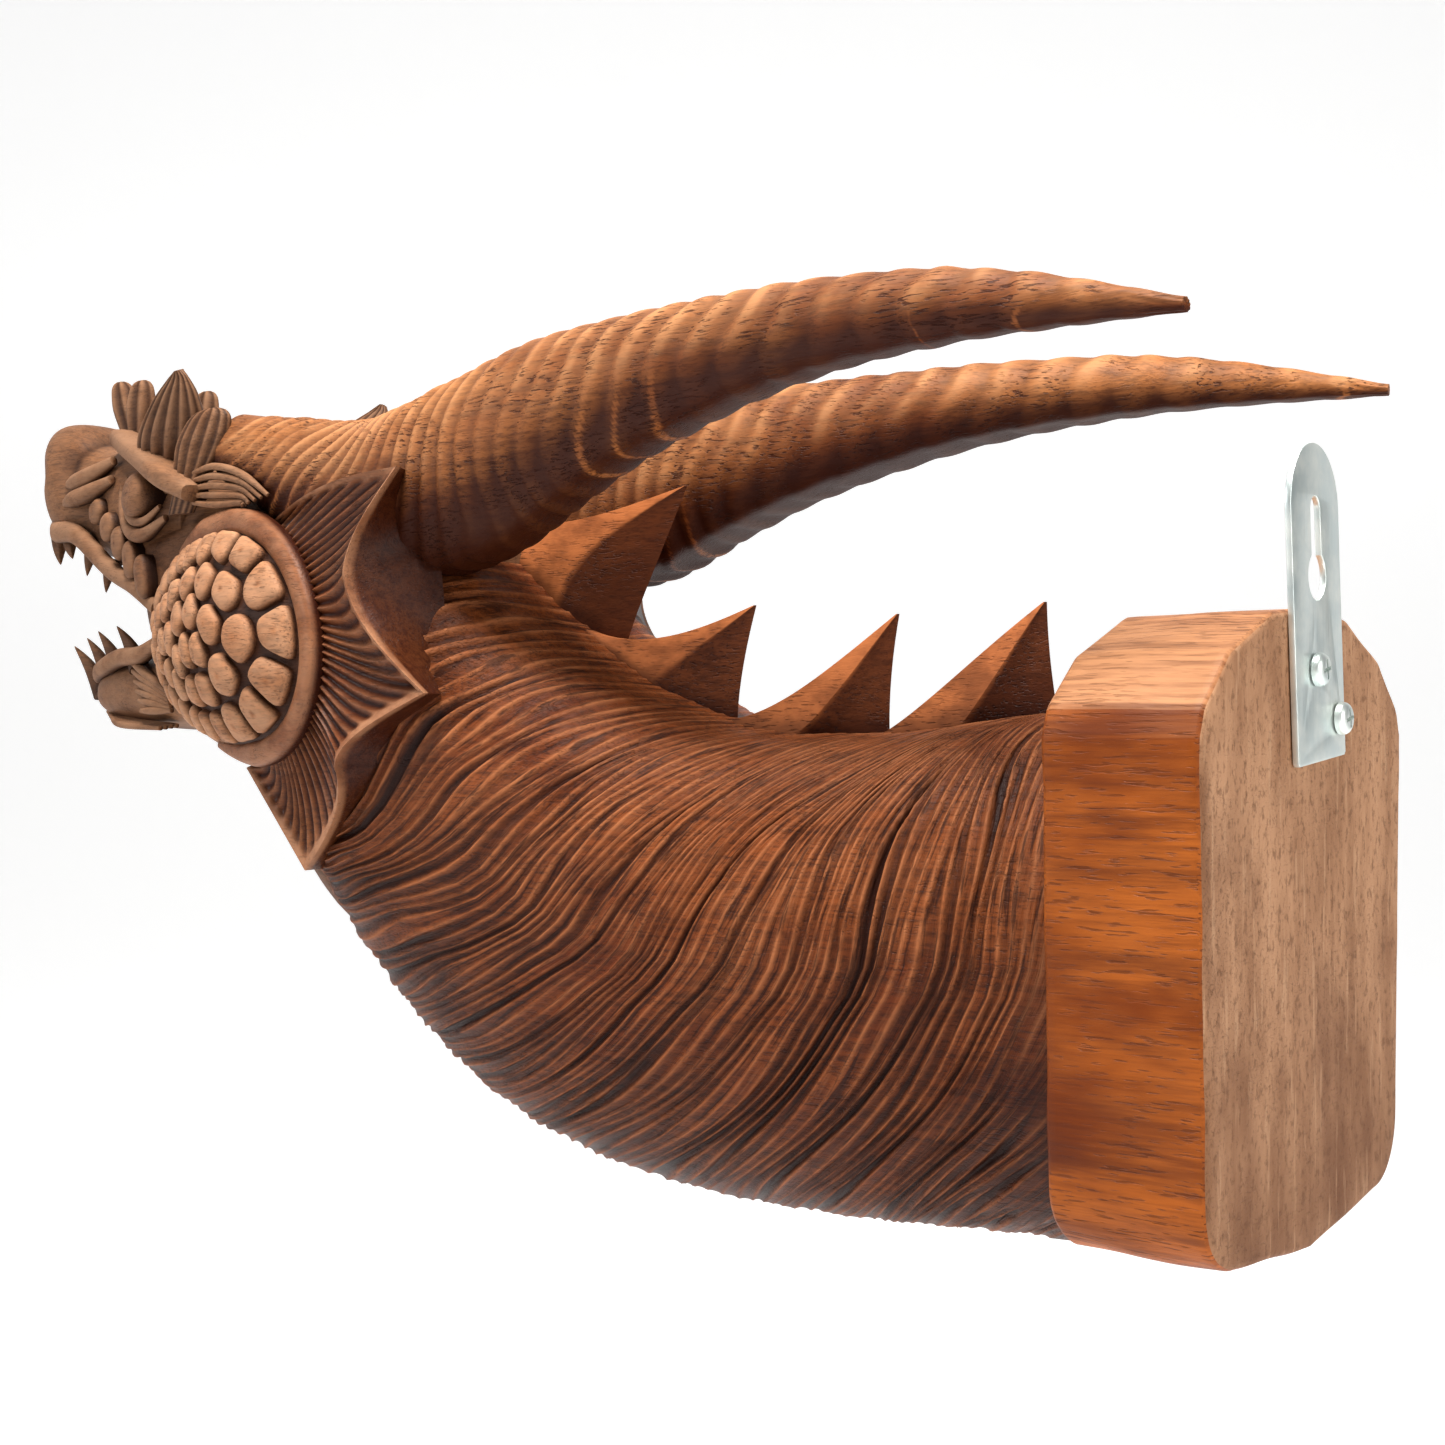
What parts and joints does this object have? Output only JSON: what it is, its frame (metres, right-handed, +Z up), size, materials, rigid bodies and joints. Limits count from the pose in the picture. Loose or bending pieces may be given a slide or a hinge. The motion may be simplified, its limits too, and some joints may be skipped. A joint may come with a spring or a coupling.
{
  "type": "dragon head wall carving",
  "caption": "Carved hardwood dragon head and neck with swept-back horns on a thick plaque, hung from a steel keyhole strap screwed to its back.",
  "frame": {"origin": "middle of the plaque's flat back face, at the wall", "axes": "+Y into the wall, so the dragon looks along -Y; +X is the dragon's left; +Z up"},
  "size_m": [0.1314, 0.4887, 0.2505],
  "materials": {
    "stained_wood": "red-brown stain, dull wax, rubbed paler on the high spots",
    "zinc_plate": "bright zinc plating, slightly cloudy",
    "zinc_screws": "bright zinc plating"
  },
  "bodies": {
    "root": {"dragon_carving": "stained_wood", "hanger_plate": "zinc_plate", "hanger_screw_upper": "zinc_screws", "hanger_screw_lower": "zinc_screws"}
  },
  "joints": []
}
